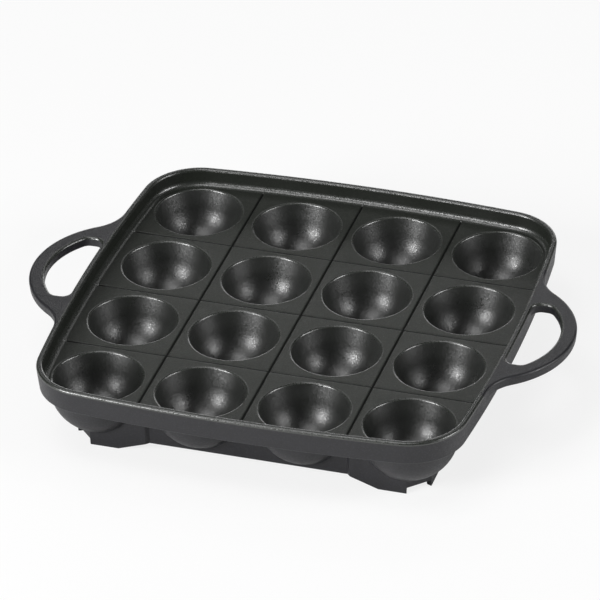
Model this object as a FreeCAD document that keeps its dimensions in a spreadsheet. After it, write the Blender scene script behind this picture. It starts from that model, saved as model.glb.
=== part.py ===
import FreeCAD, Part

import math
import os
import re

import Sketcher
from FreeCAD import Placement, Rotation, Vector

# Takoyaki maker: one aluminium casting with a non-stick coat. A square tray holds a grid of round
# cups, a rim runs round it, and a loop handle stands out at the left and at the right. Below,
# a low skirt with a pair of feet at each corner keeps the cups off the cooker.
# Right is +X, back is +Y and up is +Z. The origin is in the middle, on the table.

# Sizes in millimetres. Those from the photograph are measured against the cup grid.
SIZES = {
    # Grid of cups
    "cups_per_side": 4,
    "mouth_radius": 20.0,
    "mouth_rounding": 1.1,
    "land_width": 5.8,
    "cup_depth": 21.8,
    "bowl_taper": 1.4,
    "cup_wall": 3.5,
    "dome_flare": 0.8,
    "floor_thickness": 3.4,
    # V grooves between the cups
    "groove_width": 1.4,
    "groove_depth": 0.7,
    "groove_runout": 1.2,
    # Rim
    "rim_margin": 6.4,
    "rim_height": 8.2,
    "rim_wall": 3.0,
    "rim_draft": 1.2,
    "pocket_draft": 0.2,
    "root_rounding": 2.3,
    "edge_rounding": 1.2,
    "lower_edge_rounding": 0.8,
    "floor_strip": 0.3,
    "side_bow_radius": 870.0,
    "corner_radius": 27.0,
    # Handles
    "handle_reach": 25.0,
    "handle_radius": 43.9,
    "handle_bar_width": 7.3,
    "handle_thickness": 5.0,
    "handle_blend_radius": 19.5,
    "handle_root_margin": 3.0,
    "finger_hole_end_width": 7.8313,
    "finger_hole_corner": 4.2,
    # Skirt and feet
    "dome_clearance": 4.7,
    "skirt_wall": 2.5,
    "skirt_offset": 8.8,
    "skirt_gap": 4.5,
    "foot_step": 1.5,
    "foot_end": 1.4,
    "foot_length": 13.1,
    "foot_ramp": 13.0,
    "corner_gap": 3.0,
}

# Lengths that follow from the sizes above.
DERIVED = {
    "pitch": "2 * (mouth_radius + mouth_rounding) + land_width",
    "grid_half": "cups_per_side * pitch / 2",
    "outer_cup": "grid_half - pitch / 2",
    "bowl_radius": "mouth_radius - bowl_taper",
    "dome_radius": "bowl_radius + cup_wall",
    "dome_root": "dome_radius + dome_flare",
    "bowl_centre": "cup_depth - bowl_radius",
    "floor_top": "cup_depth + cup_wall + dome_clearance",
    "floor_bottom": "floor_top - floor_thickness",
    "rim_top": "floor_top + rim_height",
    "body_half": "grid_half + rim_margin",
    "root_outline": "rim_wall + pocket_draft + root_rounding",
    "well_outline": "root_outline + floor_strip",
    "handle_bottom": "rim_top - handle_thickness",
    "handle_tip": "body_half + handle_reach",
    "handle_centre": "handle_tip - handle_radius",
    "finger_hole_length": "2 * sqrt((handle_radius - handle_bar_width) ^ 2"
                          " - (body_half + finger_hole_end_width - handle_centre) ^ 2)",
    "skirt_face": "outer_cup + skirt_offset",
    "foot_face": "skirt_face + foot_step",
    "foot_outer": "outer_cup + foot_end",
    "foot_inner": "foot_outer - foot_length",
    "foot_start": "foot_inner - foot_ramp",
    "jog_start": "foot_start - foot_step",
}

# Spare length by which a cutting shape passes the face it cuts through.
PASS = 5.0

doc = FreeCAD.newDocument("takoyaki_maker")
sheet = doc.addObject("Spreadsheet::Sheet", "Sizes")
for line, (name, number) in enumerate(SIZES.items(), start=1):
    sheet.set(f"A{line}", name.replace("_", " "))
    sheet.set(f"B{line}", str(number))
    sheet.setAlias(f"B{line}", name)
doc.recompute()


def formula(text):
    """Write a formula in size names as an expression on the sheet's cells."""
    def expand(match):
        word = match.group(0)
        if word in DERIVED:
            return "(" + formula(DERIVED[word]) + ")"
        return "Sizes." + word if word in SIZES else word
    return re.sub(r"[a-z_]{2,}", expand, text)


def length(text):
    """Value in millimetres of a formula in size names."""
    return float(sheet.evalExpression(formula(text)))


def bind(item, **formulas):
    """Tie an object's properties to the sheet, such as Length="pitch" or x="grid_half"."""
    for prop, text in formulas.items():
        path = f"Placement.Base.{prop}" if prop in ("x", "y", "z") else prop
        item.setExpression(path, formula(text))
    return item


def box(name, size, corner):
    """Box with bound length, width and height, and a bound lowest corner."""
    item = doc.addObject("Part::Box", name)
    bind(item, Length=size[0], Width=size[1], Height=size[2])
    return bind(item, x=corner[0], y=corner[1], z=corner[2])


def fuse(name, shapes):
    item = doc.addObject("Part::MultiFuse", name)
    item.Shapes = shapes
    return item


def common(name, shapes):
    item = doc.addObject("Part::MultiCommon", name)
    item.Shapes = shapes
    return item


def cut(name, base, tool):
    item = doc.addObject("Part::Cut", name)
    item.Base = base
    item.Tool = tool
    return item


def extrude_up(name, outline, height):
    """Solid that rises from a flat outline by a bound height."""
    item = doc.addObject("Part::Extrusion", name)
    item.Base = outline
    item.DirMode = "Custom"
    item.Dir = Vector(0, 0, 1)
    item.Solid = True
    return bind(item, LengthFwd=height)


def loft(name, lower, upper):
    """Straight-sided solid between two outlines."""
    item = doc.addObject("Part::Loft", name)
    item.Sections = [lower, upper]
    item.Solid = True
    item.Ruled = True
    return item


def round_edges(name, base, picks):
    """Round the edges that each test accepts, to its radius."""
    doc.recompute()
    item = doc.addObject("Part::Fillet", name)
    item.Base = base
    item.Edges = [
        (number, radius, radius)
        for number, edge in enumerate(base.Shape.Edges, start=1)
        for accepts, radius in picks
        if accepts(edge)
    ]
    return item


# Outlines in plan. Each side is bowed outwards on a large arc, the corners are round, and on
# the handle outline a loop stands out at the left and the right on hollow blends.

def rotated(point, angle):
    return (
        point[0] * math.cos(angle) - point[1] * math.sin(angle),
        point[0] * math.sin(angle) + point[1] * math.cos(angle),
    )


def arc(centre, radius, start, end, height):
    """Arc about a centre between two angles, in the plane at a height."""
    points = [
        Vector(centre[0] + radius * math.cos(a), centre[1] + radius * math.sin(a), height)
        for a in (start, (start + end) / 2, end)
    ]
    return Part.Arc(*points).toShape()


def side_centre():
    return length("body_half - side_bow_radius")


def corner_centre():
    """Distance of a corner's centre from both middle planes, where its arc meets the sides."""
    shift = -side_centre()
    reach = length("side_bow_radius - corner_radius")
    return (-shift + math.sqrt(2 * reach ** 2 - shift ** 2)) / 2


def blend_centre():
    """Centre of the hollow blend that touches both the bowed side and the handle's arc."""
    blend = length("handle_blend_radius")
    to_side = length("side_bow_radius") + blend
    to_handle = length("handle_radius") + blend
    gap = length("handle_centre") - side_centre()
    along = (to_side ** 2 - to_handle ** 2 + gap ** 2) / (2 * gap)
    return side_centre() + along, math.sqrt(to_side ** 2 - along ** 2)


def side_arcs(offset, with_handle):
    """Arcs of the right side and the corner after it, as centre, radius, start and end angle."""
    bow = length("side_bow_radius") + offset
    corner = corner_centre()
    turn = math.atan2(corner, corner - side_centre())
    middle = (side_centre(), 0.0)
    corner_arc = ((corner, corner), length("corner_radius") + offset, turn, math.pi / 2 - turn)
    if not with_handle:
        return [(middle, bow, -turn, turn), corner_arc]
    blend_x, blend_y = blend_centre()
    blend = length("handle_blend_radius") - offset
    hub = (length("handle_centre"), 0.0)
    low = math.atan2(blend_y, blend_x - middle[0])
    high = math.atan2(blend_y, blend_x - hub[0])
    return [
        (middle, bow, -turn, -low),
        ((blend_x, -blend_y), blend, math.pi - low, math.pi - high),
        (hub, length("handle_radius") + offset, -high, high),
        ((blend_x, blend_y), blend, high - math.pi, low - math.pi),
        (middle, bow, low, turn),
        corner_arc,
    ]


def plan_outline(name, inset, height, handles=False):
    """Closed outline at a height, set in from the tray's outer edge by the inset."""
    offset = -length(inset)
    edges = []
    for quarter in range(4):
        angle = quarter * math.pi / 2
        for centre, radius, start, end in side_arcs(offset, handles and quarter % 2 == 0):
            spot = rotated(centre, angle)
            edges.append(arc(spot, radius, start + angle, end + angle, length(height)))
    item = doc.addObject("Part::Feature", name)
    item.Shape = Part.Wire(edges)
    return item


# Frame: the tray's plate and wall with both handles, before it is divided. The outer wall
# leans in towards the bottom, and the handles' tops are level with the rim.

HANDLE_INSET = "rim_draft * handle_thickness / (rim_height + floor_thickness)"

bottom_outline = plan_outline("bottom_outline", "rim_draft", "floor_bottom")
shoulder_outline = plan_outline("shoulder_outline", HANDLE_INSET, "handle_bottom")
handle_outline = plan_outline("handle_outline", HANDLE_INSET, "handle_bottom", handles=True)
top_outline = plan_outline("top_outline", "0", "rim_top", handles=True)
rim_outline = plan_outline("rim_outline", "0", "rim_top")

tray_below = loft("tray_below", bottom_outline, shoulder_outline)
tray_above = loft("tray_above", handle_outline, top_outline)
tray_blank = fuse("tray_blank", [tray_below, tray_above])
rim_envelope = loft("rim_envelope", bottom_outline, rim_outline)

pocket_floor = plan_outline("pocket_floor", "rim_wall + pocket_draft", "floor_top")
pocket_top = plan_outline("pocket_top", "rim_wall", "rim_top")
pocket = loft("pocket", pocket_floor, pocket_top)
tray_open = cut("tray_open", tray_blank, pocket)


def finger_hole(side):
    """Cutter for the opening inside a handle's loop, which the bowed tray wall closes."""
    disc = doc.addObject("Part::Cylinder", f"{side}_loop_disc")
    reach = "handle_centre" if side == "right" else "-handle_centre"
    bind(disc, Radius="handle_radius - handle_bar_width", Height="handle_thickness", x=reach)
    bind(disc, z="handle_bottom")
    start = "handle_centre" if side == "right" else "-handle_centre - handle_radius"
    band = box(
        f"{side}_loop_band",
        ("handle_radius", "finger_hole_length", "handle_thickness"),
        (start, "-finger_hole_length / 2", "handle_bottom"),
    )
    hole = common(f"{side}_loop_hole", [disc, band])
    hole = cut(f"{side}_loop_clear", hole, rim_envelope)
    upright = [(lambda edge: abs(edge.BoundBox.ZLength - length("handle_thickness")) < 0.01,
                length("finger_hole_corner"))]
    return round_edges(f"{side}_finger_hole", hole, upright)


finger_holes = fuse("finger_holes", [finger_hole("left"), finger_hole("right")])
tray_sharp = cut("tray_sharp", tray_open, finger_holes)


def level_at(height):
    """Test for an edge that lies flat at a height."""
    wanted = length(height)
    return lambda edge: (abs(edge.BoundBox.ZMin - wanted) < 0.01
                         and abs(edge.BoundBox.ZMax - wanted) < 0.01)


tray_rounded = round_edges("tray_rounded", tray_sharp, [
    (level_at("floor_top"), length("root_rounding")),
    (level_at("rim_top"), length("edge_rounding")),
    (level_at("floor_bottom"), length("lower_edge_rounding")),
])

# V grooves along the cups' boundaries, left to right and front to back. Their ends nick the
# rounding at the foot of the rim.

groove_profile = doc.addObject("Sketcher::SketchObject", "groove_profile")
groove_profile.Placement = Placement(Vector(0, 0, 0), Rotation(Vector(1, 0, 0), 90))
half_width = length("groove_width") / 2
corners = [
    (0, -length("groove_depth")),
    (half_width, 0),
    (half_width, PASS),
    (-half_width, PASS),
    (-half_width, 0),
]
for first, second in zip(corners, corners[1:] + corners[:1]):
    groove_profile.addGeometry(Part.LineSegment(Vector(*first, 0), Vector(*second, 0)))
for line in range(5):
    groove_profile.addConstraint(Sketcher.Constraint("Coincident", line, 2, (line + 1) % 5, 1))
groove_profile.addConstraint(Sketcher.Constraint("PointOnObject", 0, 1, -2))
groove_profile.addConstraint(Sketcher.Constraint("PointOnObject", 1, 1, -1))
groove_profile.addConstraint(Sketcher.Constraint("Vertical", 1))
groove_profile.addConstraint(Sketcher.Constraint("Horizontal", 2))
groove_profile.addConstraint(Sketcher.Constraint("Vertical", 3))
groove_profile.addConstraint(Sketcher.Constraint("Symmetric", 1, 1, 4, 1, -2))
groove_profile.addConstraint(Sketcher.Constraint("DistanceX", 4, 1, 1, 1, half_width * 2))
groove_profile.addConstraint(
    Sketcher.Constraint("DistanceY", 0, 1, -1, 1, length("groove_depth")))
groove_profile.addConstraint(Sketcher.Constraint("DistanceY", -1, 1, 2, 1, PASS))
bind(groove_profile, **{"Constraints[11]": "groove_width", "Constraints[12]": "groove_depth"})

GROOVE_HALF = "body_half - root_outline + groove_runout"


def groove(name, place, across):
    """One groove, along Y, or along X where it runs across the tray."""
    item = doc.addObject("Part::Extrusion", name)
    item.Base = groove_profile
    item.DirMode = "Custom"
    item.Dir = Vector(0, 1, 0)
    item.Solid = True
    item.Symmetric = True
    bind(item, LengthFwd=f"2 * ({GROOVE_HALF})", z="floor_top")
    if across:
        item.Placement = Placement(Vector(0, 0, 0), Rotation(Vector(0, 0, 1), 90))
        return bind(item, y=place)
    return bind(item, x=place)


cups = SIZES["cups_per_side"]
boundaries = [f"({number} * pitch - grid_half)" for number in range(1, cups)]
grooves = fuse(
    "grooves",
    [groove(f"groove_along_{k}", place, False) for k, place in enumerate(boundaries, start=1)]
    + [groove(f"groove_across_{k}", place, True) for k, place in enumerate(boundaries, start=1)],
)

# Parting of the frame: the well that the cups fill, and the zones that belong to the handles.

well_plan = plan_outline("well_plan", "well_outline", "floor_bottom")
well = extrude_up("well", well_plan, "floor_thickness")

wall_plan = plan_outline("wall_plan", "rim_wall / 2", "handle_bottom")
wall_core = extrude_up("wall_core", wall_plan, "handle_thickness")

blend_x, blend_y = blend_centre()
root_half = blend_y * length("side_bow_radius") / (
    length("side_bow_radius") + length("handle_blend_radius"))


def handle_zone(side):
    """Space of one handle with the outer half of the wall that it grows from."""
    start = "body_half - corner_radius" if side == "right" else "-handle_tip - 1"
    zone = box(
        f"{side}_zone_block",
        ("handle_reach + corner_radius + 1", "1", "handle_thickness"),
        (start, "0", "handle_bottom"),
    )
    zone.setExpression("Width", formula(f"2 * ({root_half} + handle_root_margin)"))
    zone.setExpression("Placement.Base.y", formula(f"-({root_half} + handle_root_margin)"))
    return cut(f"{side}_zone", zone, wall_core)


zones = {side: handle_zone(side) for side in ("left", "right")}
handle_nodes = [
    common(f"handle_{side}", [tray_rounded, zone]) for side, zone in zones.items()
]

rim_grooved = cut("rim_grooved", tray_rounded, grooves)
rim_without_well = cut("rim_without_well", rim_grooved, well)
rim = cut("rim", rim_without_well, fuse("both_zones", list(zones.values())))

# Cup shapes, as profiles turned about the cup's axis. Heights are from the floor's top face.
# The bowl is a ball, its upper wall a cone that opens towards the rounded mouth.

BOWL = length("bowl_radius")
DEPTH = length("bowl_centre")


def tangent_angle(radius, point):
    """Angle, at the bowl's centre, of the normal to the line that leaves a ball to a point."""
    distance = math.hypot(point[0], point[1] + DEPTH)
    return math.atan2(point[1] + DEPTH, point[0]) - math.acos(radius / distance)


def on_ball(radius, angle):
    return Vector(radius * math.cos(angle), -DEPTH + radius * math.sin(angle), 0)


def profile(name, parts):
    sketch = doc.addObject("Sketcher::SketchObject", name)
    sketch.Placement = Placement(Vector(0, 0, 0), Rotation(Vector(1, 0, 0), 90))
    for part in parts:
        sketch.addGeometry(part)
    return sketch


def ball_arc(radius, angle):
    circle = Part.Circle(Vector(0, -DEPTH, 0), Vector(0, 0, 1), radius)
    return Part.ArcOfCircle(circle, -math.pi / 2, angle)


def constrain(sketch, rules):
    """Add constraints, and tie those that name a formula to the sheet."""
    for rule, text in rules:
        number = sketch.addConstraint(Sketcher.Constraint(*rule))
        if text:
            bind(sketch, **{f"Constraints[{number}]": text})


dome_angle = tangent_angle(length("dome_radius"),
                           (length("dome_root"), -length("floor_thickness")))
dome_end = on_ball(length("dome_radius"), dome_angle)
dome_root = Vector(length("dome_root"), -length("floor_thickness"), 0)
dome_top = Vector(0, dome_root.y, 0)
dome_profile = profile("dome_profile", [
    ball_arc(length("dome_radius"), dome_angle),
    Part.LineSegment(dome_end, dome_root),
    Part.LineSegment(dome_root, dome_top),
    Part.LineSegment(dome_top, on_ball(length("dome_radius"), -math.pi / 2)),
])
constrain(dome_profile, [
    (("Tangent", 0, 2, 1, 1), None),
    (("Coincident", 1, 2, 2, 1), None),
    (("Coincident", 2, 2, 3, 1), None),
    (("Coincident", 3, 2, 0, 1), None),
    (("PointOnObject", 0, 3, -2), None),
    (("PointOnObject", 0, 1, -2), None),
    (("PointOnObject", 2, 2, -2), None),
    (("Horizontal", 2), None),
    (("Radius", 0, length("dome_radius")), "dome_radius"),
    (("DistanceY", 0, 3, -1, 1, DEPTH), "bowl_centre"),
    (("DistanceX", -1, 1, 1, 2, length("dome_root")), "dome_root"),
    (("DistanceY", 1, 2, -1, 1, length("floor_thickness")), "floor_thickness"),
])

ROUND = length("mouth_rounding")
lip_centre = Vector(length("mouth_radius") + ROUND, -ROUND, 0)
cavity_angle = tangent_angle(BOWL + ROUND, (lip_centre.x, lip_centre.y))
normal = Vector(math.cos(cavity_angle), math.sin(cavity_angle), 0)
lip_circle = Part.Circle(lip_centre, Vector(0, 0, 1), ROUND)
lip_top = lip_centre + Vector(0, ROUND, 0)
cavity_profile = profile("cavity_profile", [
    ball_arc(BOWL, cavity_angle),
    Part.LineSegment(on_ball(BOWL, cavity_angle), lip_centre - normal * ROUND),
    Part.ArcOfCircle(lip_circle, math.pi / 2, math.pi + cavity_angle),
    Part.LineSegment(lip_top, lip_top + Vector(0, PASS, 0)),
    Part.LineSegment(lip_top + Vector(0, PASS, 0), Vector(0, PASS, 0)),
    Part.LineSegment(Vector(0, PASS, 0), on_ball(BOWL, -math.pi / 2)),
])
constrain(cavity_profile, [
    (("Tangent", 0, 2, 1, 1), None),
    (("Tangent", 1, 2, 2, 2), None),
    (("Coincident", 2, 1, 3, 1), None),
    (("Coincident", 3, 2, 4, 1), None),
    (("Coincident", 4, 2, 5, 1), None),
    (("Coincident", 5, 2, 0, 1), None),
    (("PointOnObject", 0, 3, -2), None),
    (("PointOnObject", 0, 1, -2), None),
    (("PointOnObject", 4, 2, -2), None),
    (("PointOnObject", 2, 1, -1), None),
    (("Vertical", 2, 3, 2, 1), None),
    (("Vertical", 3), None),
    (("Horizontal", 4), None),
    (("DistanceY", -1, 1, 3, 2, PASS), None),
    (("Radius", 0, BOWL), "bowl_radius"),
    (("DistanceY", 0, 3, -1, 1, DEPTH), "bowl_centre"),
    (("Radius", 2, ROUND), "mouth_rounding"),
    (("DistanceX", -1, 1, 2, 3, lip_centre.x), "mouth_radius + mouth_rounding"),
])


def turned(name, sketch, column, row):
    """Profile turned about the axis of the cup in a column and a row."""
    item = doc.addObject("Part::Revolution", name)
    item.Source = sketch
    item.Axis = Vector(0, 0, 1)
    item.Angle = 360
    item.Solid = True
    spot = "({} + 0.5) * pitch - grid_half"
    return bind(item, x=spot.format(column), y=spot.format(row), z="floor_top")


# Cups: each cell of the grid is one piece, a square of the floor with its cup, from groove to
# groove. The outer cells reach on to the foot of the rim.

EXTRA = "(rim_margin + handle_reach)"


def cell_span(index):
    """Start and length of a cell in one direction."""
    start = f"{index} * pitch - grid_half"
    size = "pitch"
    if index == 0:
        start, size = f"{start} - {EXTRA}", f"{size} + {EXTRA}"
    if index == cups - 1:
        size = f"{size} + {EXTRA}"
    return start, size


def cup(row, column, dome):
    tag = f"{row + 1}_{column + 1}"
    x_start, x_size = cell_span(column)
    y_start, y_size = cell_span(row)
    cell = box(f"cell_{tag}", (x_size, y_size, "floor_top"), (x_start, y_start, "0"))
    body = common(f"cup_body_{tag}", [fuse(f"cup_blank_{tag}", [well, dome]), cell])
    cavity = turned(f"cavity_{tag}", cavity_profile, column, row)
    hollow = cut(f"cup_hollow_{tag}", body, cavity)
    return cut(f"cup_row{row + 1}_col{column + 1}", hollow, grooves)


domes = {
    (row, column): turned(f"dome_{row + 1}_{column + 1}", dome_profile, column, row)
    for row in range(cups)
    for column in range(cups)
}
cup_nodes = [cup(row, column, dome) for (row, column), dome in domes.items()]

# Skirt: a thin wall below the floor, under the outer cups. It is straight between the feet,
# jogs outwards to each foot and crosses the corners on a slant.

def skirt_plan():
    """Outer face of the skirt in plan, right side first, then turned to the other three."""
    face, foot = length("skirt_face"), length("foot_face")
    jog, start, end = length("jog_start"), length("foot_start"), length("foot_outer")
    right = [(foot, -end), (foot, -start), (face, -jog), (face, jog), (foot, start), (foot, end)]
    points = [rotated(point, quarter * math.pi / 2) for quarter in range(4) for point in right]
    item = doc.addObject("Part::Feature", "skirt_plan")
    item.Shape = Part.makePolygon([Vector(x, y, 0) for x, y in points + points[:1]])
    return item


skirt_outside = skirt_plan()
skirt_inside = doc.addObject("Part::Offset2D", "skirt_inside")
skirt_inside.Source = skirt_outside
skirt_inside.Join = "Intersection"
bind(skirt_inside, Value="-skirt_wall")
skirt_ring = cut(
    "skirt_ring",
    extrude_up("skirt_block", skirt_outside, "floor_bottom"),
    extrude_up("skirt_core", skirt_inside, "floor_bottom"),
)


def arch(name, turn):
    """Cutter for the raised lower edge between two feet, with the ramps down to them."""
    inner, start = length("foot_inner"), length("foot_start")
    slope = length("skirt_gap") / length("foot_ramp")
    low = Vector(inner + 1 / slope, -1)
    high = Vector(start, length("skirt_gap"))
    outline = [low, high, Vector(-high.x, high.y), Vector(-low.x, low.y)]
    points = [Vector(point.x, -length("body_half"), point.y) for point in outline]
    plan = doc.addObject("Part::Feature", f"{name}_outline")
    plan.Shape = Part.makePolygon(points + points[:1])
    item = doc.addObject("Part::Extrusion", name)
    item.Base = plan
    item.DirMode = "Custom"
    item.Dir = Vector(0, 1, 0)
    item.Solid = True
    item.Placement = Placement(Vector(0, 0, 0), Rotation(Vector(0, 0, 1), turn))
    return bind(item, LengthFwd="2 * body_half")


def corner_block(name, x_sign, y_sign):
    """Cutter for the raised lower edge of the slanting wall at one corner."""
    start = {1: "foot_outer", -1: "-foot_outer - foot_ramp"}
    return box(name, ("foot_ramp", "foot_ramp", "corner_gap + 1"),
               (start[x_sign], start[y_sign], "-1"))


CORNERS = {
    "front_left": (-1, -1),
    "front_right": (1, -1),
    "back_left": (-1, 1),
    "back_right": (1, 1),
}
lower_cuts = [arch("arch_front_back", 0), arch("arch_left_right", 90)]
lower_cuts += [corner_block(f"corner_block_{name}", *signs) for name, signs in CORNERS.items()]
skirt_trimmed = cut("skirt_trimmed", skirt_ring, fuse("lower_cuts", lower_cuts))
skirt = cut("skirt", skirt_trimmed, fuse("all_domes", list(domes.values())))

SIDES = {
    "front": ("-jog_start", "-foot_face - 1", "2 * jog_start", "foot_face - jog_start"),
    "back": ("-jog_start", "jog_start + 1", "2 * jog_start", "foot_face - jog_start"),
    "left": ("-foot_face - 1", "-jog_start", "foot_face - jog_start", "2 * jog_start"),
    "right": ("jog_start + 1", "-jog_start", "foot_face - jog_start", "2 * jog_start"),
}


def skirt_side(name):
    x_start, y_start, x_size, y_size = SIDES[name]
    part = box(f"{name}_span", (x_size, y_size, "floor_bottom"), (x_start, y_start, "0"))
    return common(f"skirt_{name}", [skirt, part])


def corner_feet(name, x_sign, y_sign):
    """Both feet of one corner, with the slanting wall between them."""
    size = "foot_face - jog_start + 1"
    start = {1: "jog_start", -1: "-foot_face - 1"}
    part = box(f"{name}_span", (size, size, "floor_bottom"), (start[x_sign], start[y_sign], "0"))
    return common(f"feet_{name}", [skirt, part])


skirt_nodes = [skirt_side(name) for name in SIDES]
foot_nodes = [corner_feet(name, *signs) for name, signs in CORNERS.items()]

# Checks, and one file for each piece.

doc.recompute()
nodes = cup_nodes + [rim] + handle_nodes + skirt_nodes + foot_nodes
for item in doc.Objects:
    if "Invalid" in item.State or "Error" in item.State:
        raise RuntimeError(f"{item.Name} did not build: {item.State}")
for node in nodes:
    node.Label = node.Name
    if node.Shape.isNull() or not node.Shape.isValid():
        raise RuntimeError(f"{node.Label} has no valid shape")
    if len(node.Shape.Solids) != 1:
        raise RuntimeError(f"{node.Label} has {len(node.Shape.Solids)} solids")

os.makedirs("parts", exist_ok=True)
for node in nodes:
    node.Shape.exportStep(os.path.join("parts", f"{node.Label}.step"))
    print(f"{node.Label}: {node.Shape.Volume / 1000:.2f} cm3")
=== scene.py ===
import math

import bmesh
import bpy
import numpy as np
from mathutils import Matrix
from mathutils.geometry import tessellate_polygon


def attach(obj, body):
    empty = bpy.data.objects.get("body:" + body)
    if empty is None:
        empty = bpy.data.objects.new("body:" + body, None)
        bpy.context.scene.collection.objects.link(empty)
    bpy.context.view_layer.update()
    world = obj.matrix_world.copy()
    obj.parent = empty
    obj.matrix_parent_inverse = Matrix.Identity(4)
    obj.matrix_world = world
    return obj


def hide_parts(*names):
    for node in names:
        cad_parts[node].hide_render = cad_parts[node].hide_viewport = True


# Takoyaki pan, die-cast in aluminium with a dark non-stick coat. Lengths are in millimetres, and
# heights are from the table, until build_piece makes a mesh of them in metres.

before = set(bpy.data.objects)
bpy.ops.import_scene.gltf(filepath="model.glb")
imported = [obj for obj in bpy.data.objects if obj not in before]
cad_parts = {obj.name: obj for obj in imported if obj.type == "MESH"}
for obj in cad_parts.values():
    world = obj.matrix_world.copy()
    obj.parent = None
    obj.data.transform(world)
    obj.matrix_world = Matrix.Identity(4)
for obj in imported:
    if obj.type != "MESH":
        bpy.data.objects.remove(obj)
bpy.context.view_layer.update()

# Cups. Sixteen cells of the tray, each a square of the floor with its bowl above and its dome
# below, all one cast wall. A V groove runs round each cell, and the coat is sprayed over it.

PITCH = 48.0
CUP_CENTRES = PITCH * np.array([-1.5, -0.5, 0.5, 1.5])
FLOOR = 30.0
UNDERSIDE = 26.6
# The grooves' lines. Beside them the rows lie close up to the reach, and within the shade's reach
# the coat is dull and darker, a painted shade in the grooves.
GROOVES = PITCH * np.array([-1, 0, 1])
GROOVE_DEPTH = 0.7
GROOVE_ROUNDING = 0.15
GROOVE_REACH = 1.4
GROOVE_SHADE_REACH = 0.5
MOUTH_RADIUS = 20.0
MOUTH_ROUNDING = 1.1
# Both balls of a cup, inside and outside, have their centre here.
BALL_HEIGHT = FLOOR - 3.2
BALL_POINTS = 28
BOWL_RADIUS = 18.6
DOME_RADIUS = 22.1
DOME_ROOT = 22.9
DOME_ROOT_ROUNDING = 0.6
# The tray's outline has four bowed sides and four round corners that are tangent to them.
SIDE_REACH = 102.4
SIDE_RADIUS = 870.0
SIDE_CENTRE = SIDE_REACH - SIDE_RADIUS
CORNER_RADIUS = 27.0
CORNER_SWING = SIDE_RADIUS - CORNER_RADIUS
CORNER_CENTRE = (SIDE_CENTRE + math.sqrt(2 * CORNER_SWING ** 2 - SIDE_CENTRE ** 2)) / 2
# The cells end where the rim's foot starts, this far inside the outline.
FLOOR_EDGE = -5.8


def outline_offset(x, y):
    """Distance outside the tray's outline, seen from above, and negative inside it.

    The point is folded into the sector beside the right side. There the outline is an arc about
    a far centre and then an arc about the corner's centre, so the distance is that to the
    centre less the arc's radius.
    """
    x, y = np.abs(x), np.abs(y)
    x, y = np.maximum(x, y), np.minimum(x, y)
    to_side = np.hypot(x - SIDE_CENTRE, y) - SIDE_RADIUS
    to_corner = np.hypot(x - CORNER_CENTRE, y - CORNER_CENTRE) - CORNER_RADIUS
    beside = y * (CORNER_CENTRE - SIDE_CENTRE) <= CORNER_CENTRE * (x - SIDE_CENTRE)
    return np.where(beside, to_side, to_corner)


def groove_drop(distance):
    """Height beside a groove line: a V at 45 degrees, so the distance less the depth, with its
    upper edges rounded by a hyperbola."""
    rise = GROOVE_DEPTH - distance
    return -(rise + np.sqrt(rise ** 2 + GROOVE_ROUNDING ** 2)) / 2


def rounded_profile(points, radii, steps=8, support=0.12):
    """Polygon with its corners replaced by arcs that are tangent to both edges.

    An arc's centre is on the corner's bisector, at the radius over the sine of half the angle.
    A point a little before and after each arc keeps the straight stretches flat when shaded.
    """
    points = np.asarray(points, float)
    rows = []
    for before, corner, after, radius in zip(
            np.roll(points, 1, 0), points, np.roll(points, -1, 0), radii):
        if radius == 0:
            rows.append(corner[None])
            continue
        back = (before - corner) / np.linalg.norm(before - corner)
        ahead = (after - corner) / np.linalg.norm(after - corner)
        half = math.acos(np.clip(back @ ahead, -1, 1)) / 2
        centre = corner + (back + ahead) / np.linalg.norm(back + ahead) * radius / math.sin(half)
        start = corner + back * radius / math.tan(half)
        end = corner + ahead * radius / math.tan(half)
        first = math.atan2(*(start - centre)[::-1])
        turn = (math.atan2(*(end - centre)[::-1]) - first + math.pi) % (2 * math.pi) - math.pi
        angles = first + turn * np.linspace(0, 1, steps + 1)
        ring = centre + radius * np.stack([np.cos(angles), np.sin(angles)], axis=1)
        rows.append(np.vstack([start + back * support, ring, end + ahead * support]))
    return np.vstack(rows)


def grid_faces(rows, columns, closed_rows=False, closed_columns=False):
    """Quads of a grid of points that is numbered row by row, joined round where it is closed."""
    i = np.arange(rows if closed_rows else rows - 1)[:, None]
    j = np.arange(columns if closed_columns else columns - 1)[None, :]
    down, right = (i + 1) % rows, (j + 1) % columns
    corners = [i * columns + j, i * columns + right, down * columns + right, down * columns + j]
    return np.stack(np.broadcast_arrays(*corners), axis=-1).reshape(-1, 4)


def sheet(rows, material, **closed):
    """Surface for build_piece: rows of points with the quads between them, and a material."""
    return rows, grid_faces(*rows.shape[:2], **closed), material


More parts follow.
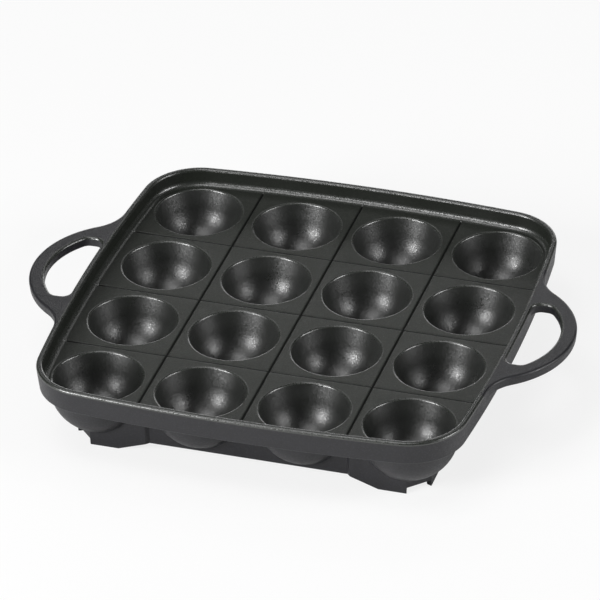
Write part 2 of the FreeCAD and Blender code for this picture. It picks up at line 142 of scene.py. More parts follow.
def build_piece(name, surfaces, nodes):
    """Make one closed mesh of surfaces, each given as points, faces and a material.

    Points that meet are merged, faces without area are dropped and all are turned outwards.
    The piece rides on the pan's one body and replaces the named nodes.
    """
    materials = list(dict.fromkeys(material for _, _, material in surfaces))
    points, faces, slots, start = [], [], [], 0
    for part, polygons, material in surfaces:
        part = np.asarray(part, float).reshape(-1, 3)
        points.append(part / 1000)
        faces += (start + np.asarray(polygons)).tolist()
        slots += [materials.index(material)] * len(polygons)
        start += len(part)
    mesh = bpy.data.meshes.new(name)
    mesh.from_pydata(np.vstack(points).tolist(), [], faces)
    mesh.polygons.foreach_set("material_index", slots)
    shell = bmesh.new()
    shell.from_mesh(mesh)
    bmesh.ops.remove_doubles(shell, verts=shell.verts, dist=2e-6)
    bmesh.ops.dissolve_degenerate(shell, edges=shell.edges, dist=1e-6)
    bmesh.ops.recalc_face_normals(shell, faces=shell.faces)
    open_edges = sum(not edge.is_manifold for edge in shell.edges)
    if open_edges:
        print(f"{name}: {open_edges} open edges")
    shell.to_mesh(mesh)
    shell.free()
    mesh.polygons.foreach_set("use_smooth", [True] * len(mesh.polygons))
    mesh.set_sharp_from_angle(angle=math.radians(32))
    for material in materials:
        mesh.materials.append(material)
    piece = bpy.data.objects.new(name, mesh)
    bpy.context.scene.collection.objects.link(piece)
    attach(piece, "root")
    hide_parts(*nodes)


def linear(colour):
    """Linear colour of an sRGB hex value."""
    parts = np.array([int(colour[i:i + 2], 16) for i in (1, 3, 5)]) / 255
    parts = np.where(parts <= 0.04045, parts / 12.92, ((parts + 0.055) / 1.055) ** 2.4)
    return (*parts.tolist(), 1.0)


def add_node(tree, kind, links=(), **settings):
    """Add a shader node, set its values and properties, and link (output, input name) pairs."""
    node = tree.nodes.new(kind)
    for key, value in settings.items():
        if hasattr(node, key):
            setattr(node, key, value)
        else:
            node.inputs[key].default_value = value
    for output, key in links:
        tree.links.new(output, node.inputs[key])
    return node


# Real flecks are about 0.1 mm. Cells of 0.38 mm are the finest that a picture can show. The coat is
# pebbled by its spraying, and patches of it lie rougher or smoother.
FLECK = 0.38
PEBBLE = 0.9
PEBBLE_HEIGHT = 0.03
PATCH = 12.0


def sprayed_coat(name, colour, fleck, roughness, shine):
    """Non-stick coat sprayed on cast aluminium: dark resin with mineral flecks, a little pebbled.

    A fleck is a Voronoi cell whose random value is in the top part, and it is smoother than the
    resin. The pebbling is noise in the height, and a slower noise makes the patches. A cell's
    normal is the pebbled one plus a tenth of a random vector, brought back to length one.
    """
    material = bpy.data.materials.new(name)
    material.use_nodes = True
    tree = material.node_tree
    shader = tree.nodes["Principled BSDF"]
    place = add_node(tree, "ShaderNodeTexCoord").outputs["Object"]
    cells = add_node(tree, "ShaderNodeTexVoronoi", [(place, "Vector")], Scale=1000 / FLECK)
    chance = add_node(tree, "ShaderNodeSeparateColor", [(cells.outputs["Color"], "Color")])
    flecks = add_node(tree, "ShaderNodeMapRange", [(chance.outputs["Red"], "Value")],
                      **{"From Min": 0.78, "From Max": 0.88})
    pebbles = add_node(tree, "ShaderNodeTexNoise", [(place, "Vector")],
                       Scale=1000 / PEBBLE, Detail=2)
    patches = add_node(tree, "ShaderNodeTexNoise", [(place, "Vector")],
                       Scale=1000 / PATCH, Detail=3)
    spray = add_node(tree, "ShaderNodeMixRGB", [(flecks.outputs["Result"], "Fac")],
                     Color1=linear(colour), Color2=linear(fleck))
    uneven = add_node(tree, "ShaderNodeMapRange", [(patches.outputs["Fac"], "Value")],
                      **{"From Min": 0.3, "From Max": 0.7,
                         "To Min": roughness - 0.04, "To Max": roughness + 0.04})
    rough = add_node(tree, "ShaderNodeMath", [(flecks.outputs["Result"], 0),
                                              (uneven.outputs["Result"], 2)],
                     operation="MULTIPLY_ADD")
    rough.inputs[1].default_value = -0.12
    pebbled = add_node(tree, "ShaderNodeBump", [(pebbles.outputs["Fac"], "Height")],
                       Strength=1.0, Distance=PEBBLE_HEIGHT / 1000)
    # Each cell lies at its own tilt, which makes the grain in the highlights.
    tilts = add_node(tree, "ShaderNodeVectorMath", [(cells.outputs["Color"], 0)],
                     operation="SUBTRACT")
    tilts.inputs[1].default_value = (0.5, 0.5, 0.5)
    tilted = add_node(tree, "ShaderNodeVectorMath", [(tilts.outputs["Vector"], 0),
                                                     (pebbled.outputs["Normal"], 2)],
                      operation="MULTIPLY_ADD")
    tilted.inputs[1].default_value = (0.1, 0.1, 0.1)
    facing = add_node(tree, "ShaderNodeVectorMath", [(tilted.outputs["Vector"], 0)],
                      operation="NORMALIZE")
    tree.links.new(spray.outputs["Color"], shader.inputs["Base Color"])
    tree.links.new(rough.outputs["Value"], shader.inputs["Roughness"])
    tree.links.new(facing.outputs["Vector"], shader.inputs["Normal"])
    shader.inputs["IOR"].default_value = 1.58
    shader.inputs["Specular IOR Level"].default_value = shine
    return material


# Mica makes the coat shine more than plain resin in the bowls and on the edges, where it lies thin
# and smooth. It is duller on the floor and outside. The edge coat is lighter as a painted highlight
# on the roundings, and the groove coat is dull and darker as painted shade in the grooves.
BOWL_COAT = sprayed_coat(
    "bowl_coat_black_non_stick", "#131513", "#1e211c", roughness=0.42, shine=0.9)
TRAY_COAT = sprayed_coat(
    "tray_coat_black_non_stick", "#191c17", "#242822", roughness=0.5, shine=0.38)
EDGE_COAT_PAINTED_HIGHLIGHT = sprayed_coat(
    "edge_coat_painted_highlight_non_stick", "#1e211d", "#2a2d28", roughness=0.34, shine=0.9)
GROOVE_COAT_PAINTED_SHADE = sprayed_coat(
    "groove_coat_painted_shade_non_stick", "#0d0f0d", "#131513", roughness=0.7, shine=0.2)
OUTER_COAT = sprayed_coat(
    "outer_coat_black_non_stick", "#1a1a1d", "#25252a", roughness=0.44, shine=0.42)


def ball_profile(radius, point, clearance=0.0):
    """Points of a ball's wall from its pole up to where a straight line leaves it, and the angle.

    The line passes the point at the clearance. The normal there makes the angle of the point as
    seen from the ball's centre, less the angle whose cosine is the radius and the clearance
    over the distance.
    """
    across, up = point[0], point[1] - BALL_HEIGHT
    leave = math.atan2(up, across) - math.acos((radius + clearance) / math.hypot(across, up))
    angles = np.linspace(-math.pi / 2, leave, BALL_POINTS)
    ring = np.stack([radius * np.cos(angles), BALL_HEIGHT + radius * np.sin(angles)], axis=1)
    return ring, leave


def bowl_profile():
    """Inside of a cup: a ball, a cone that opens upwards and a rounded mouth."""
    lip = np.array([MOUTH_RADIUS + MOUTH_ROUNDING, FLOOR - MOUTH_ROUNDING])
    ball, leave = ball_profile(BOWL_RADIUS, lip, MOUTH_ROUNDING)
    turn = np.linspace(math.pi + leave, math.pi / 2, 10)
    mouth = lip + MOUTH_ROUNDING * np.stack([np.cos(turn), np.sin(turn)], axis=1)
    return np.vstack([ball, mouth])


def dome_profile():
    """Underside of a cup: a ball, a cone and a hollow rounding into the tray's underside."""
    ball, _ = ball_profile(DOME_RADIUS, (DOME_ROOT, UNDERSIDE))
    corners = [ball[-1], (DOME_ROOT, UNDERSIDE), (DOME_ROOT + 2, UNDERSIDE)]
    root = rounded_profile(corners, [0, DOME_ROOT_ROUNDING, 0], steps=6)
    return np.vstack([ball, root[1:-1]])


def outline_reach(across, offset=0.0):
    """Distance of the tray's side from the middle plane, at a distance along that side."""
    return SIDE_CENTRE + np.sqrt((SIDE_RADIUS + offset) ** 2 - across ** 2)


def cell_angles(cx, cy):
    """Directions from a cup's centre: every 2.5 degrees, and close together where a groove meets
    the rim."""
    steps = np.array([0, 0.1, 0.25, 0.4, 0.55, 0.7, 0.85, 1.0, 1.2, GROOVE_REACH])
    angles = [np.radians(np.arange(0, 360, 2.5))]
    for groove in GROOVES:
        if abs(groove - cx) < PITCH and abs(cy) > PITCH:
            x = groove + steps * np.sign(cx - groove)
            angles.append(np.arctan2(np.sign(cy) * outline_reach(x, FLOOR_EDGE) - cy, x - cx))
        if abs(groove - cy) < PITCH and abs(cx) > PITCH:
            y = groove + steps * np.sign(cy - groove)
            angles.append(np.arctan2(y - cy, np.sign(cx) * outline_reach(y, FLOOR_EDGE) - cx))
    angles = np.sort(np.concatenate(angles) % (2 * math.pi))
    return angles[np.concatenate([np.diff(angles), [1]]) > 1e-5]


def cell_reach(cx, cy, angles, inset):
    """Distance from a cup's centre to its cell's boundary, at an inset from the grooves.

    Towards a groove it is the distance over the direction's share of it. Towards the rim it is
    found by halving a stretch of the ray until its end lies on the outline.
    """
    reach = np.full(len(angles), 1.25 * PITCH)
    low, high = np.zeros(len(angles)), reach
    for side_x, side_y in ((1, 0), (0, 1), (-1, 0), (0, -1)):
        if cx * side_x + cy * side_y < PITCH:
            share = np.cos(angles) * side_x + np.sin(angles) * side_y
            reach = np.minimum(reach, (PITCH / 2 - inset) / np.maximum(share, 1e-3))
    for _ in range(40):
        middle = (low + high) / 2
        inside = outline_offset(cx + middle * np.cos(angles), cy + middle * np.sin(angles))
        low = np.where(inside < FLOOR_EDGE, middle, low)
        high = np.where(inside < FLOOR_EDGE, high, middle)
    return np.minimum(reach, low)


def cell_rows(cx, cy, angles, reaches, heights):
    """Rings of points round a cup's axis. Each ring's reach is a number or one for each angle."""
    reaches = np.stack([np.broadcast_to(reach, angles.shape) for reach in reaches])
    heights = np.stack([np.broadcast_to(height, angles.shape) for height in heights])
    return np.stack([cx + reaches * np.cos(angles), cy + reaches * np.sin(angles), heights], -1)


def groove_distance(points):
    """Distance of points, seen from above, from the nearest groove line."""
    return np.abs(points[..., :2, None] - GROOVES).min(axis=(-1, -2))


bowl = bowl_profile()
dome = dome_profile()
insets = [GROOVE_REACH, 1.15, 0.95, 0.8, 0.65, GROOVE_SHADE_REACH, 0.3, 0.12, 0.0]
shade_row = 2 + insets.index(GROOVE_SHADE_REACH)
for row, cy in enumerate(CUP_CENTRES, start=1):
    for column, cx in enumerate(CUP_CENTRES, start=1):
        angles = cell_angles(cx, cy)
        inside = cell_rows(cx, cy, angles, bowl[:, 0], bowl[:, 1])
        edges = [cell_reach(cx, cy, angles, inset) for inset in insets]
        floor = cell_rows(cx, cy, angles, [bowl[-1, 0], bowl[-1, 0] + 0.12] + edges,
                          [FLOOR] * (2 + len(edges)))
        floor[..., 2] += groove_drop(groove_distance(floor))
        inside[-1, :, 2] = floor[0, :, 2]
        below = cell_rows(cx, cy, angles, dome[:, 0], dome[:, 1])
        rest = cell_rows(cx, cy, angles, [np.maximum(edges[-1], dome[-1, 0] + 0.02)], [UNDERSIDE])
        outside = np.concatenate([below, rest, floor[-1:]])
        surfaces = [
            sheet(inside[:BALL_POINTS + 1], BOWL_COAT, closed_columns=True),
            # The mouth's rounding is lighter, a painted highlight.
            sheet(inside[BALL_POINTS:], EDGE_COAT_PAINTED_HIGHLIGHT, closed_columns=True),
            sheet(floor[:shade_row + 1], TRAY_COAT, closed_columns=True),
            # Next to the grooves the floor is darker, painted shade.
            sheet(floor[shade_row:], GROOVE_COAT_PAINTED_SHADE, closed_columns=True),
            sheet(outside, OUTER_COAT, closed_columns=True),
        ]
        build_piece(f"cup_row{row}_col{column}_cast", surfaces, [f"cup_row{row}_col{column}"])

# Rim. The low wall round the tray, cast in one with it, bowed along its sides and round at its
# corners. It leans out a little, so that the casting leaves its mould, and it meets the floor in
# a hollow rounding.

RIM_TOP = 38.2
HANDLE_BOTTOM = 33.2
RIM_DRAFT = 1.2
EDGE_ROUNDING = 1.2
EDGE_STEPS = 10
FOOT_ROUNDING = 2.3
ROOT_ROUNDING = 0.8
HANDLE_DRAFT = RIM_DRAFT * (RIM_TOP - HANDLE_BOTTOM) / (RIM_TOP - UNDERSIDE)
# The wall's inner face at its foot and at its top, and the plane where the handles are cast on.
INNER_FOOT = -3.2
INNER_TOP = -3.0
MID_WALL = -1.5
# Half the length of a handle's root along the tray's side.
HANDLE_ROOT = 53.4
# Where a groove's bottom starts to climb on the foot's rounding, and how far that goes.
CLIMB_START = -5.2
CLIMB_END = -3.9


def arc_path(centre, radius, angles, outward=1):
    """Points of an arc, each with the direction in which an offset moves it."""
    way = np.stack([np.cos(angles), np.sin(angles)], axis=1)
    return np.asarray(centre) + radius * way, outward * way


def side_path(across):
    """Points of the tray's right side at distances along it, with their outward directions."""
    return arc_path((SIDE_CENTRE, 0), SIDE_RADIUS, np.arcsin(across / SIDE_RADIUS))


def quarter_turn(quarter):
    """Matrix that turns points, seen from above, by a number of quarters of a turn."""
    c, s = math.cos(quarter * math.pi / 2), math.sin(quarter * math.pi / 2)
    return np.array([[c, s], [-s, c]])


def rim_path():
    """Path round the tray's outline, one side and one corner at a time.

    Points are 1.6 mm apart, and 0.12 mm where a groove comes in. On the left and right sides a
    doubled point marks both ends of the stretch that the handle takes over.
    """
    half_side = SIDE_RADIUS * CORNER_CENTRE / math.hypot(CORNER_CENTRE - SIDE_CENTRE, CORNER_CENTRE)
    across = np.concatenate([np.linspace(-half_side, half_side, 95)]
                            + [groove + np.linspace(-GROOVE_REACH, GROOVE_REACH, 25)
                               for groove in GROOVES])
    across = np.unique(across.round(6))
    outer = [across[across < -HANDLE_ROOT], across[across > HANDLE_ROOT]]
    inner = across[np.abs(across) < HANDLE_ROOT]
    ends = np.array([-HANDLE_ROOT, HANDLE_ROOT])
    with_handle = np.concatenate([outer[0], ends[:1], ends[:1], inner, ends[1:], ends[1:], outer[1]])
    taken = np.zeros(len(with_handle), bool)
    taken[len(outer[0]) + 1:-len(outer[1]) - 1] = True
    turn = math.atan2(CORNER_CENTRE, CORNER_CENTRE - SIDE_CENTRE)
    corner = arc_path((CORNER_CENTRE, CORNER_CENTRE), CORNER_RADIUS,
                      np.linspace(turn, math.pi / 2 - turn, 40)[1:-1])
    points, ways, marks = [], [], []
    for quarter in range(4):
        side = with_handle if quarter % 2 == 0 else across
        marks += [taken if quarter % 2 == 0 else np.zeros(len(across), bool)]
        marks += [np.zeros(len(corner[0]), bool)]
        for path in (side_path(side), corner):
            points.append(path[0] @ quarter_turn(quarter))
            ways.append(path[1] @ quarter_turn(quarter))
    return np.vstack(points), np.vstack(ways), np.concatenate(marks)


def swept(path, offsets, heights):
    """Profile carried along a path: each point moves sideways by the offset, at the height."""
    points, ways = path
    shape = np.broadcast_shapes(offsets.shape, (offsets.shape[0], len(points)))
    offsets, heights = np.broadcast_to(offsets, shape), np.broadcast_to(heights, shape)
    return np.concatenate([points + offsets[..., None] * ways, heights[..., None]], axis=-1)


points, ways, taken = rim_path()
wall_foot = (-HANDLE_DRAFT, HANDLE_BOTTOM)
corners = [(FLOOR_EDGE, FLOOR), (INNER_FOOT, FLOOR), (INNER_TOP, RIM_TOP), (MID_WALL, RIM_TOP),
           (0, RIM_TOP), wall_foot, wall_foot, (-RIM_DRAFT, UNDERSIDE), (FLOOR_EDGE, UNDERSIDE)]
radii = [0, FOOT_ROUNDING, EDGE_ROUNDING, 0, EDGE_ROUNDING, 0, 0, ROOT_ROUNDING, 0]
profile = rounded_profile(corners, radii, EDGE_STEPS)
# The profile's row at which each corner starts: a rounded one takes its arc and two rows more.
starts = np.cumsum([0] + [EDGE_STEPS + 3 if radius else 1 for radius in radii])
offsets = np.repeat(profile[:, :1], len(points), axis=1)
heights = np.repeat(profile[:, 1:], len(points), axis=1)
# Along a handle's root the rim ends at the wall's middle, from its top down to the handle's foot.
offsets[starts[3]:starts[5] + 1, taken] = MID_WALL
rim = swept((points, ways), offsets, heights)
# The grooves run on into the foot's rounding and climb out of it at 45 degrees.
climb = np.maximum(offsets - CLIMB_START, 0)
foot = (offsets < CLIMB_END) & (heights < FLOOR + 2) & (heights > UNDERSIDE + 1)
groove = np.minimum(heights, FLOOR + groove_drop(groove_distance(rim)) + climb)
rim[..., 2] = np.where(foot, groove, heights)
# The tray's coat goes up the wall's inner face. The foot's and the top's roundings are lighter, a
# painted highlight.
tray_rows = starts[1:3] - 1
painted_highlight_rows = np.concatenate([np.arange(starts[k], starts[k + 1] - 1) for k in (1, 2, 4)])
outer_rows = np.setdiff1d(np.arange(len(rim)), np.concatenate([tray_rows, painted_highlight_rows]))
quads = grid_faces(*rim.shape[:2], closed_rows=True, closed_columns=True)
quads = quads.reshape(len(rim), -1, 4)
build_piece("rim_cast", [(rim, quads[rows].reshape(-1, 4), coat) for rows, coat in (
    (tray_rows, TRAY_COAT), (painted_highlight_rows, EDGE_COAT_PAINTED_HIGHLIGHT), (outer_rows, OUTER_COAT))], ["rim"])

# Handles. A loop at each side, cast level with the rim, which it leaves on two hollow curves. Its
# edges are rounded for the hand, and the opening's inner side is the tray's own wall.

HANDLE_END = 127.4
HANDLE_RADIUS = 43.9
HANDLE_CENTRE = HANDLE_END - HANDLE_RADIUS
BAR_WIDTH = 7.3
BLEND_RADIUS = 19.5
HOLE_RADIUS = HANDLE_RADIUS - BAR_WIDTH
HOLE_HALF = 25.0
HOLE_CORNER = 4.2


def handle_path():
    """Outer edge of the right handle: the tray's side, a hollow blend, the loop, and back.

    The blend's centre is where circles about the side's and the loop's centres meet, each
    larger than its arc by the blend's radius.
    """
    to_side, to_loop = SIDE_RADIUS + BLEND_RADIUS, HANDLE_RADIUS + BLEND_RADIUS
    gap = HANDLE_CENTRE - SIDE_CENTRE
    along = (to_side ** 2 - to_loop ** 2 + gap ** 2) / (2 * gap)
    centre = (SIDE_CENTRE + along, math.sqrt(to_side ** 2 - along ** 2))
    low = math.atan2(centre[1], along)
    high = math.atan2(centre[1], centre[0] - HANDLE_CENTRE)
    start = math.asin(HANDLE_ROOT / SIDE_RADIUS)
    arcs = [
        arc_path((SIDE_CENTRE, 0), SIDE_RADIUS, np.linspace(-start, -low, 4)),
        arc_path((centre[0], -centre[1]), BLEND_RADIUS,
                 np.linspace(math.pi - low, math.pi - high, 40)[1:], -1),
        arc_path((HANDLE_CENTRE, 0), HANDLE_RADIUS, np.linspace(-high, high, 110)[1:]),
        arc_path(centre, BLEND_RADIUS,
                 np.linspace(high - math.pi, low - math.pi, 40)[1:], -1),
        arc_path((SIDE_CENTRE, 0), SIDE_RADIUS, np.linspace(low, start, 4)[1:]),
    ]
    return np.vstack([arc[0] for arc in arcs]), np.vstack([arc[1] for arc in arcs])


def hole_path():
    """Edge of the right handle's opening, counterclockwise from the middle of the tray's wall.

    It is the tray's side, a corner, a straight end, a corner and the loop's inner arc, and the
    same back. The last value is 0 on the tray's wall and 1 on the loop, smooth in between.
    """
    inset = HOLE_HALF - HOLE_CORNER
    near = SIDE_CENTRE + math.sqrt((SIDE_RADIUS + HOLE_CORNER) ** 2 - inset ** 2)
    far = HANDLE_CENTRE + math.sqrt((HOLE_RADIUS - HOLE_CORNER) ** 2 - inset ** 2)
    tip = math.asin(inset / (SIDE_RADIUS + HOLE_CORNER))
    open_angle = math.atan2(inset, far - HANDLE_CENTRE)
    wall = arc_path((SIDE_CENTRE, 0), SIDE_RADIUS, np.linspace(0, -tip, 16), -1)
    turn = np.linspace(math.pi - tip, 1.5 * math.pi, 14)[1:]
    first = arc_path((near, -inset), HOLE_CORNER, turn)
    line = np.linspace(near, far, 5)[1:-1]
    straight = (np.stack([line, np.full(len(line), -HOLE_HALF)], axis=1),
                np.tile([0.0, -1.0], (len(line), 1)))
    second = arc_path((far, -inset), HOLE_CORNER,
                      np.linspace(-math.pi / 2, -open_angle, 10))
    loop = arc_path((HANDLE_CENTRE, 0), HOLE_RADIUS, np.linspace(-open_angle, 0, 50)[1:])
    arcs = [wall, first, straight, second, loop]
    points, ways = np.vstack([arc[0] for arc in arcs]), np.vstack([arc[1] for arc in arcs])
    swell = (1 - np.cos(np.linspace(0, math.pi, len(turn) + 1)[1:])) / 2
    level = np.ones(len(points) - len(wall[0]) - len(swell))
    fade = np.concatenate([np.zeros(len(wall[0])), swell, level])
    flip = np.array([1, -1])
    back = slice(-2, 0, -1)
    return (np.vstack([points, points[back] * flip]), np.vstack([ways, ways[back] * flip]),
            np.concatenate([fade, fade[back]]))


def end_face(loop):
    """Surface for build_piece: one face with the loop's points as its corners."""
    return loop, np.arange(len(loop))[None], OUTER_COAT


def level_cap(outer, hole):
    """Triangles that fill a level outline round a hole."""
    loops = [outer, hole]
    return np.vstack(loops), tessellate_polygon([loop.tolist() for loop in loops])


def handle_surfaces(side):
    """Closed surfaces of one handle: the outer wall, the opening's wall, a cap above and one
    below, and the faces inside the tray's wall. The left handle is the mirror image."""
    outer_path = handle_path()
    # The first and the last corner of a profile only give its edges their directions.
    radii = [0, EDGE_ROUNDING, EDGE_ROUNDING, 0]
    corners = [(MID_WALL, RIM_TOP), (0, RIM_TOP), wall_foot, (INNER_TOP, HANDLE_BOTTOM)]
    rows = rounded_profile(corners, radii, EDGE_STEPS)[1:-1]
    foot = outer_path[0] - HANDLE_DRAFT * outer_path[1]
    stand = np.hypot(foot[:, 0] - SIDE_CENTRE, foot[:, 1]) - (SIDE_RADIUS - HANDLE_DRAFT)
    share = np.clip(stand / EDGE_ROUNDING, 0, 1)
    offsets, heights = (np.repeat(rows[:, k:k + 1], len(share), axis=1) for k in (0, 1))
    below = slice(EDGE_STEPS + 3, None)
    offsets[below] = wall_foot[0] + (offsets[below] - wall_foot[0]) * share
    heights[below] = wall_foot[1] + (heights[below] - wall_foot[1]) * share
    outer = swept(outer_path, offsets, heights)

    hole_points, hole_ways, fade = hole_path()
    corners = [(3.0, RIM_TOP), (0, RIM_TOP), (0, HANDLE_BOTTOM), (3.0, HANDLE_BOTTOM)]
    rows = rounded_profile(corners, radii, EDGE_STEPS)[1:-1]
    offsets, heights = (np.repeat(rows[:, k:k + 1], len(fade), axis=1) for k in (0, 1))
    offsets[below] *= fade
    heights[below] = HANDLE_BOTTOM + (heights[below] - HANDLE_BOTTOM) * fade
    offsets += (1 - fade) * HANDLE_DRAFT * (RIM_TOP - heights) / (RIM_TOP - HANDLE_BOTTOM)
    hole = swept((hole_points, hole_ways), offsets, heights)

    across = np.linspace(HANDLE_ROOT, -HANDLE_ROOT, 60)
    seam = swept(side_path(across), np.full((2, 1), MID_WALL),
                 np.array([[RIM_TOP], [HANDLE_BOTTOM]]))
    top_points, top_faces = level_cap(np.vstack([outer[0], seam[0]]), hole[0])
    low_points, low_faces = level_cap(np.vstack([outer[-1], seam[1]]), hole[-1])
    ends = [np.vstack([outer[:, k], seam[::-1, 0 if k else -1]]) for k in (0, -1)]
    surfaces = [
        sheet(outer, OUTER_COAT),
        # The opening's upper rounding is lighter, a painted highlight.
        sheet(hole[:EDGE_STEPS + 1], EDGE_COAT_PAINTED_HIGHLIGHT, closed_columns=True),
        sheet(hole[EDGE_STEPS:], OUTER_COAT, closed_columns=True),
        (top_points, top_faces, OUTER_COAT),
        (low_points, low_faces, OUTER_COAT),
        sheet(seam, OUTER_COAT),
        end_face(ends[0]),
        end_face(ends[1]),
    ]
    return [(part * (side, 1, 1), faces, coat) for part, faces, coat in surfaces]


build_piece("handle_left_cast", handle_surfaces(-1), ["handle_left"])
build_piece("handle_right_cast", handle_surfaces(1), ["handle_right"])

# Skirt and feet. A thin cast wall under the outer cups, straight along each side. At each end it
# steps outwards, comes down to a flat foot, and crosses the corner on a slant with a gap below.

SKIRT_WALL = 2.5
SKIRT_EDGE = 0.5
SKIRT_FLARE = 1.0
PLAN_ROUNDING = 0.8
# Least distance from one cross-section of the wall to the next.
STATION = 0.9
FACE = 80.8
FOOT_FACE = 82.3
JOG = 45.8
FOOT_START = 47.3
FOOT_INNER = 60.3
FOOT_OUTER = 73.4
SKIRT_GAP = 4.5
CORNER_GAP = 3.0
FOOT_PLAN = [(FACE, JOG), (FOOT_FACE, FOOT_START), (FOOT_FACE, FOOT_OUTER),
             (FOOT_OUTER, FOOT_FACE), (FOOT_START, FOOT_FACE), (JOG, FACE)]


def inner_face(points, before, after):
    """Line parallel to a path at the wall's thickness inside it, corner by corner.

    At each corner the inner point is on the bisector of the two outward normals, at the
    thickness over the cosine of half the angle between them.
    """
    chain = np.vstack([before, points, after])
    edges = np.diff(chain, axis=0)
    normals = np.stack([edges[:, 1], -edges[:, 0]], 1) / np.linalg.norm(edges, axis=1)[:, None]
    both = normals[:-1] + normals[1:]
    return np.asarray(points) - SKIRT_WALL * 2 * both / (both ** 2).sum(1)[:, None]


def roof_height(x, y):
    """Height of the casting's underside: that of the nearest dome's ball where it comes lower."""
    to_x = np.abs(x[..., None] - CUP_CENTRES).min(-1)
    to_y = np.abs(y[..., None] - CUP_CENTRES).min(-1)
    inside = np.maximum(DOME_RADIUS ** 2 - to_x ** 2 - to_y ** 2, 0)
    return np.minimum(UNDERSIDE, BALL_HEIGHT - np.sqrt(inside))


def skirt_surfaces(outer, inner, quarter):
    """Wall that hangs from the casting's underside, between its outer and inner lines.

    Each cross-section goes down the outer face, round the lower edge and up the inner face.
    Both faces flare out into what they hang from on a quarter circle, and reach a little into
    it. The lower edge's height follows from the distance along the side: level, down a ramp, a
    flat foot, and up.
    """
    lengths = np.linalg.norm(np.diff(outer, axis=0), axis=1)
    counts = np.maximum((lengths / STATION).astype(int), 1)
    place = np.concatenate([k + np.arange(n) / n for k, n in enumerate(counts)]
                           + [[len(outer) - 1]])
    stations = [np.stack([np.interp(place, np.arange(len(line)), line[:, k]) for k in (0, 1)], axis=1)
                for line in (outer, inner)]
    along = np.abs(stations[0]).min(axis=1)
    bottom = np.interp(along, [FOOT_START, FOOT_INNER, FOOT_OUTER, FOOT_OUTER + 0.1],
                       [SKIRT_GAP, 0, 0, CORNER_GAP])
    through = stations[1] - stations[0]
    rows = []
    for sign, face in ((1, stations[0]), (-1, stations[1])):
        unit = -sign * through / np.linalg.norm(through, axis=1)[:, None]
        wall = []
        for t in np.linspace(0, math.pi / 2, 7):
            spot = face + unit * SKIRT_FLARE * (1 - math.sin(t))
            drop = SKIRT_FLARE * (1 - math.cos(t))
            if t == 0:
                wall.append(np.column_stack([spot, roof_height(*spot.T) + SKIRT_FLARE]))
            wall.append(np.column_stack([spot, roof_height(*spot.T) - drop]))
        for t in np.linspace(0, math.pi / 2, 5):
            spot = face - unit * SKIRT_EDGE * (1 - math.cos(t))
            wall.append(np.column_stack([spot, bottom + SKIRT_EDGE * (1 - math.sin(t))]))
        rows += wall if sign == 1 else wall[::-1]
    rows = np.stack(rows)
    rows[..., :2] = rows[..., :2] @ quarter_turn(quarter)
    return [sheet(rows, OUTER_COAT, closed_rows=True), end_face(rows[:, 0]), end_face(rows[:, -1])]


foot_inner = inner_face(FOOT_PLAN, (FACE, 0), (0, FACE))
side_outer = np.array([(FACE, -JOG), (FACE, JOG)])
side_inner = np.array([foot_inner[0] * (1, -1), foot_inner[0]])
foot_lines = [rounded_profile(line, [0] + [PLAN_ROUNDING] * 4 + [0], steps=6, support=0.1)
              for line in (FOOT_PLAN, foot_inner)]
for quarter, (side, corner) in enumerate([
        ("right", "back_right"), ("back", "back_left"),
        ("left", "front_left"), ("front", "front_right")]):
    build_piece(f"skirt_{side}_cast", skirt_surfaces(side_outer, side_inner, quarter),
                [f"skirt_{side}"])
    build_piece(f"feet_{corner}_cast", skirt_surfaces(*foot_lines, quarter), [f"feet_{corner}"])

# Studio. A pale floor under the pan, a white background that only the camera sees, five soft
# lights, and a camera that was fitted to the centres of the cups in the photograph.

FLOOR_GLOW = 0.8
ROOM_LIGHT = 0.04
LAMP_DISTANCE = 2.0
LAMP_AIM = (0, 0, 0.03)
SENSOR = 36
PHOTO_PIXELS = 600
FOCAL_PIXELS = 5473.96
CAMERA_ANGLES = (18.036, 32.617, -1.503)
# The middle of the tray's floor as the camera has it, right, up and back, in cup distances.
FLOOR_FROM_CAMERA = (0.0084, -0.1397, -51.472)

floor_mesh = bpy.data.meshes.new("studio_floor")
floor_mesh.from_pydata([(-6, -6, 0), (6, -6, 0), (6, 6, 0), (-6, 6, 0)], [], [(0, 1, 2, 3)])
studio_floor = bpy.data.objects.new("studio_floor", floor_mesh)
bpy.context.scene.collection.objects.link(studio_floor)
floor_material = bpy.data.materials.new("pale_floor")
floor_material.use_nodes = True
tree = floor_material.node_tree
paper = tree.nodes["Principled BSDF"]
paper.inputs["Base Color"].default_value = (0.9, 0.9, 0.9, 1)
paper.inputs["Roughness"].default_value = 0.8
# The camera sees the floor mostly as white light, which leaves a faint shadow on white ground.
glow = add_node(tree, "ShaderNodeEmission", Color=linear("#ffffff"), Strength=1.0)
seen = add_node(tree, "ShaderNodeLightPath").outputs["Is Camera Ray"]
amount = add_node(tree, "ShaderNodeMath", [(seen, 0)], operation="MULTIPLY")
amount.inputs[1].default_value = FLOOR_GLOW
ground = add_node(tree, "ShaderNodeMixShader", [(amount.outputs["Value"], 0),
                                                (paper.outputs["BSDF"], 1),
                                                (glow.outputs["Emission"], 2)])
tree.links.new(ground.outputs["Shader"], tree.nodes["Material Output"].inputs["Surface"])
floor_mesh.materials.append(floor_material)

world = bpy.data.worlds.new("studio")
world.use_nodes = True
tree = world.node_tree
seen = add_node(tree, "ShaderNodeLightPath").outputs["Is Camera Ray"]
level = add_node(tree, "ShaderNodeMapRange", [(seen, "Value")],
                 **{"To Min": ROOM_LIGHT, "To Max": 1.0})
tree.nodes["Background"].inputs["Color"].default_value = linear("#ffffff")
tree.links.new(level.outputs["Result"], tree.nodes["Background"].inputs["Strength"])
bpy.context.scene.world = world


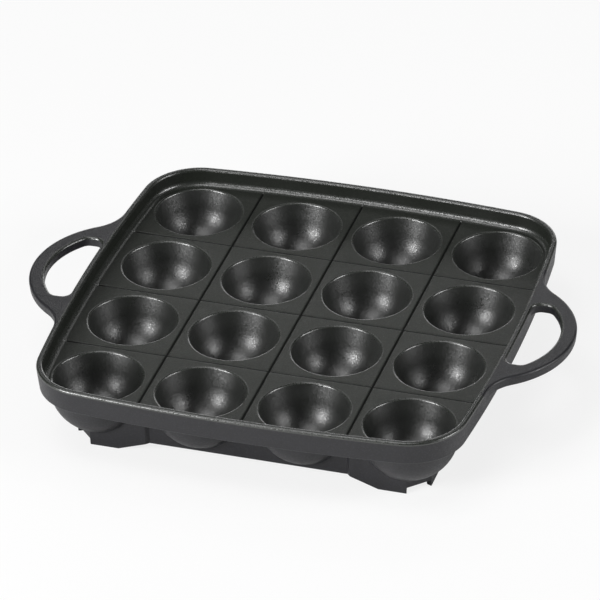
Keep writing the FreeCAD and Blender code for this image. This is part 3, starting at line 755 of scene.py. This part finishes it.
def soft_light(name, azimuth, elevation, width, height, watts):
    """Soft box that points at the pan from a distance, placed by its direction from the pan.

    The azimuth goes round from the back towards the right, and the elevation up from the table.
    The lamp's way is right by the azimuth's sine and back by its cosine, both times the
    elevation's cosine, and up by the elevation's sine.
    """
    a, e = math.radians(azimuth), math.radians(elevation)
    way = np.array([math.sin(a) * math.cos(e), math.cos(a) * math.cos(e), math.sin(e)])
    data = bpy.data.lights.new(name, "AREA")
    data.shape = "RECTANGLE"
    data.size, data.size_y = width, height
    data.energy = watts
    light = bpy.data.objects.new(name, data)
    right = np.array([math.cos(a), -math.sin(a), 0])
    up = np.cross(way, right)
    matrix = np.eye(4)
    matrix[:3, 0], matrix[:3, 1], matrix[:3, 2] = right, up, way
    matrix[:3, 3] = way * LAMP_DISTANCE + LAMP_AIM
    light.matrix_world = Matrix(matrix.tolist())
    bpy.context.scene.collection.objects.link(light)


soft_light("right", azimuth=89, elevation=24, width=0.85, height=0.85, watts=21)
soft_light("front_left", azimuth=217, elevation=24, width=0.75, height=0.85, watts=40)
soft_light("overhead", azimuth=216, elevation=74, width=1.2, height=0.9, watts=12)
soft_light("back_low", azimuth=350, elevation=9, width=1.4, height=0.4, watts=8)
soft_light("back_high", azimuth=335, elevation=46, width=2.2, height=0.6, watts=4)

camera_data = bpy.data.cameras.new("camera")
camera_data.sensor_width = SENSOR
camera_data.lens = SENSOR * FOCAL_PIXELS / PHOTO_PIXELS
camera_data.clip_end = 20
camera = bpy.data.objects.new("camera", camera_data)
azimuth, elevation, roll = np.radians(CAMERA_ANGLES)
back = np.array([math.sin(azimuth) * math.cos(elevation),
                 -math.cos(azimuth) * math.cos(elevation), math.sin(elevation)])
right = np.array([math.cos(azimuth), math.sin(azimuth), 0])
up = np.cross(back, right)
axes = np.array([math.cos(roll) * right + math.sin(roll) * up,
                 math.cos(roll) * up - math.sin(roll) * right, back])
place = -axes.T @ (np.array(FLOOR_FROM_CAMERA) * PITCH) + (0, 0, FLOOR)
matrix = np.eye(4)
matrix[:3, :3] = axes.T
matrix[:3, 3] = place / 1000
camera.matrix_world = Matrix(matrix.tolist())
bpy.context.scene.collection.objects.link(camera)
bpy.context.scene.camera = camera
bpy.context.scene.view_settings.view_transform = "Standard"
